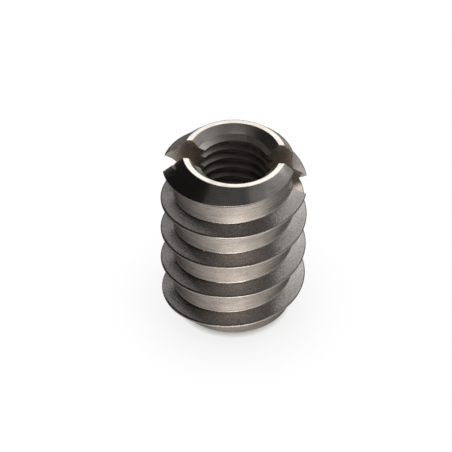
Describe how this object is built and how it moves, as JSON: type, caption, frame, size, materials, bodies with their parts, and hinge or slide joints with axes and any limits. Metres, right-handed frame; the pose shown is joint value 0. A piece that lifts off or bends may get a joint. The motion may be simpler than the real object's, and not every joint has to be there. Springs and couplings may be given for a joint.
{
  "type": "threaded insert",
  "caption": "Slotted bush of turned steel with a coarse outer thread that cuts into wood and a tapped bore that takes a machine screw.",
  "frame": {"origin": "centre of the plain end's face, which the part stands on", "axes": "+Z along the axis towards the slotted end; the driver slot runs along X"},
  "size_m": [0.0184, 0.0184, 0.0247],
  "materials": {
    "steel": "turned stainless steel, bright and bare, with fine turning marks round the axis"
  },
  "bodies": {
    "root": {"insert": "steel"}
  },
  "joints": []
}
